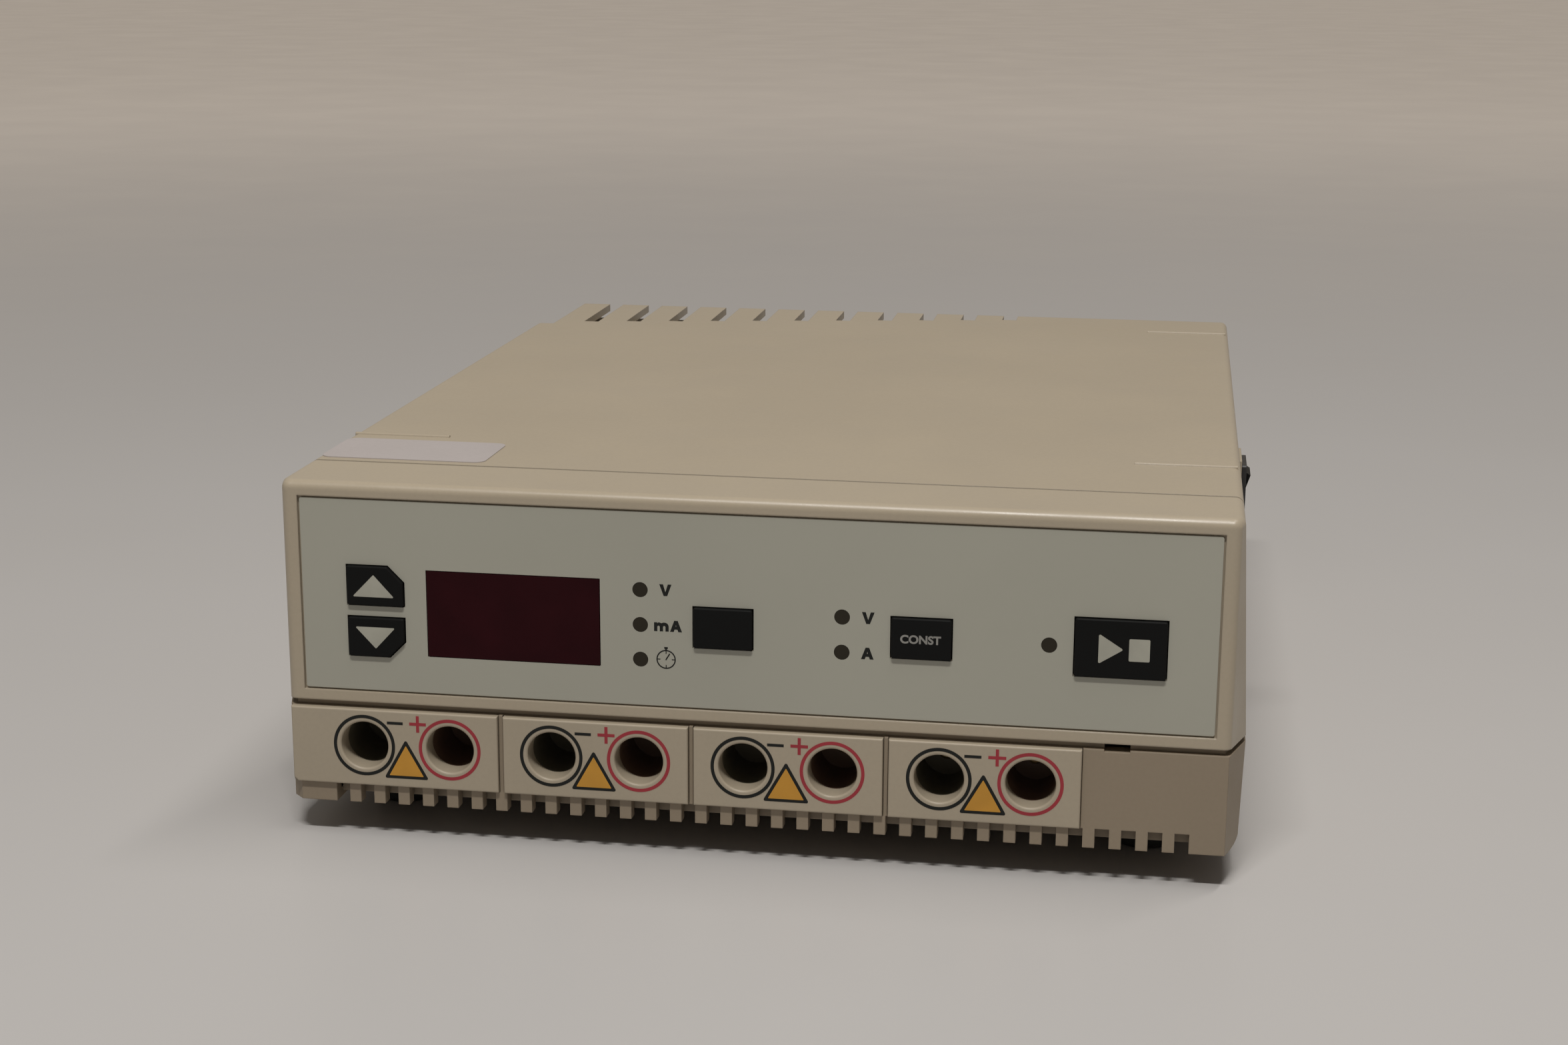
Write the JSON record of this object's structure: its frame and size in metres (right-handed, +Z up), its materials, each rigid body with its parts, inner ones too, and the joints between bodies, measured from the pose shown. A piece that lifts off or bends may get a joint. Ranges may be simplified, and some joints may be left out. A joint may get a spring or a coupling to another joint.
{
  "type": "electrophoresis power supply",
  "caption": "Low bench power supply with a sloped-side cream case, a grey key panel with a digit window, paired recessed output jacks, a side rocker switch and vents.",
  "frame": {"origin": "middle of the case in X and Y, on the surface that the feet stand on", "axes": "+X to the right seen from the front, +Y towards the back, +Z up; the keys and jacks face -Y"},
  "size_m": [0.247, 0.3025, 0.0941],
  "materials": {
    "housing_cream": "fine textured moulded cream plastic",
    "bezel_cream": "fine textured moulded cream plastic",
    "module_cream": "smooth moulded cream plastic",
    "overlay_grey": "fine matt printed film",
    "key_black": "satin black key caps",
    "window_maroon": "dark red display filter",
    "lamp_window": "dark smoked lamp windows",
    "display_black": "digit display block",
    "lamp_red": "diffused red lamps",
    "sleeve_black": "black insulating sleeves",
    "sleeve_red": "red insulating sleeves",
    "contact_brass": "nickel flashed brass",
    "zinc_steel": "zinc plated steel",
    "board_green": "green solder mask",
    "core_steel": "varnished laminations",
    "winding_amber": "enamelled winding under tape",
    "sink_aluminium": "plain extruded aluminium",
    "panel_cream": "powder coated cream sheet",
    "part_black": "moulded black plastic",
    "can_blue": "sleeved aluminium cans",
    "foot_rubber": "soft black rubber",
    "label_white": "blank adhesive label",
    "fuse_glass": "glass fuses",
    "lead_blue": "insulated leads",
    "ribbon_grey": "flat grey ribbon lead"
  },
  "bodies": {
    "housing": {"front_bezel": "bezel_cream", "front_overlay": "overlay_grey", "display_window": "window_maroon", "light_windows": "lamp_window", "key_switches": "part_black", "status_lights": "lamp_red", "digit_display": "display_black", "control_board": "board_green", "control_board_screws": "zinc_steel", "base_shell": "housing_cream", "top_cover": "housing_cream", "label": "label_white", "output_module_1": "module_cream", "output_module_2": "module_cream", "output_module_3": "module_cream", "output_module_4": "module_cream", "jack_sleeves_black": "sleeve_black", "jack_sleeves_red": "sleeve_red", "jack_contacts": "contact_brass", "jack_nuts": "zinc_steel", "output_board": "board_green", "rear_panel": "panel_cream", "rear_panel_screws": "zinc_steel", "inlet_housing": "part_black", "inlet_pins": "contact_brass", "switch_body": "part_black", "rubber_feet": "foot_rubber", "case_screws": "zinc_steel", "main_board": "board_green", "board_standoffs": "zinc_steel", "main_board_screws": "zinc_steel", "capacitors": "can_blue", "output_relays": "part_black", "choke_core": "core_steel", "choke_winding": "winding_amber", "rectifier": "part_black", "ribbon_header": "part_black", "ribbon_socket": "part_black", "ribbon_cable": "ribbon_grey", "transformer_core": "core_steel", "transformer_coil": "winding_amber", "transformer_bracket": "zinc_steel", "transformer_screws": "zinc_steel", "heat_sink": "sink_aluminium", "power_transistors": "part_black", "output_leads": "lead_blue", "mains_leads": "lead_blue"},
    "rocker": {"power_rocker": "part_black"},
    "drawer": {"fuse_drawer": "part_black", "fuses": "fuse_glass"},
    "up_key": {"key_up": "key_black"},
    "down_key": {"key_down": "key_black"},
    "select_key": {"key_select": "key_black"},
    "mode_key": {"key_mode": "key_black"},
    "run_key": {"key_run": "key_black"}
  },
  "joints": [
    {"name": "up_press", "type": "slide", "parent": "housing", "child": "up_key", "axis": [0, 1, 0], "range_m": [0, 0.0007], "stiffness_N_per_m": 1500, "springref_m": -0.0004},
    {"name": "down_press", "type": "slide", "parent": "housing", "child": "down_key", "axis": [0, 1, 0], "range_m": [0, 0.0007], "stiffness_N_per_m": 1500, "springref_m": -0.0004},
    {"name": "select_press", "type": "slide", "parent": "housing", "child": "select_key", "axis": [0, 1, 0], "range_m": [0, 0.0007], "stiffness_N_per_m": 1500, "springref_m": -0.0004},
    {"name": "mode_press", "type": "slide", "parent": "housing", "child": "mode_key", "axis": [0, 1, 0], "range_m": [0, 0.0007], "stiffness_N_per_m": 1500, "springref_m": -0.0004},
    {"name": "run_press", "type": "slide", "parent": "housing", "child": "run_key", "axis": [0, 1, 0], "range_m": [0, 0.0007], "stiffness_N_per_m": 1500, "springref_m": -0.0004},
    {"name": "rocker_tilt", "type": "hinge", "parent": "housing", "child": "rocker", "pos_m": [0.1192, -0.032, 0.0725], "axis": [0, 1, 0], "range_deg": [-18, 0]},
    {"name": "drawer_slide", "type": "slide", "parent": "housing", "child": "drawer", "axis": [0, 1, 0], "range_m": [0, 0.024]}
  ]
}
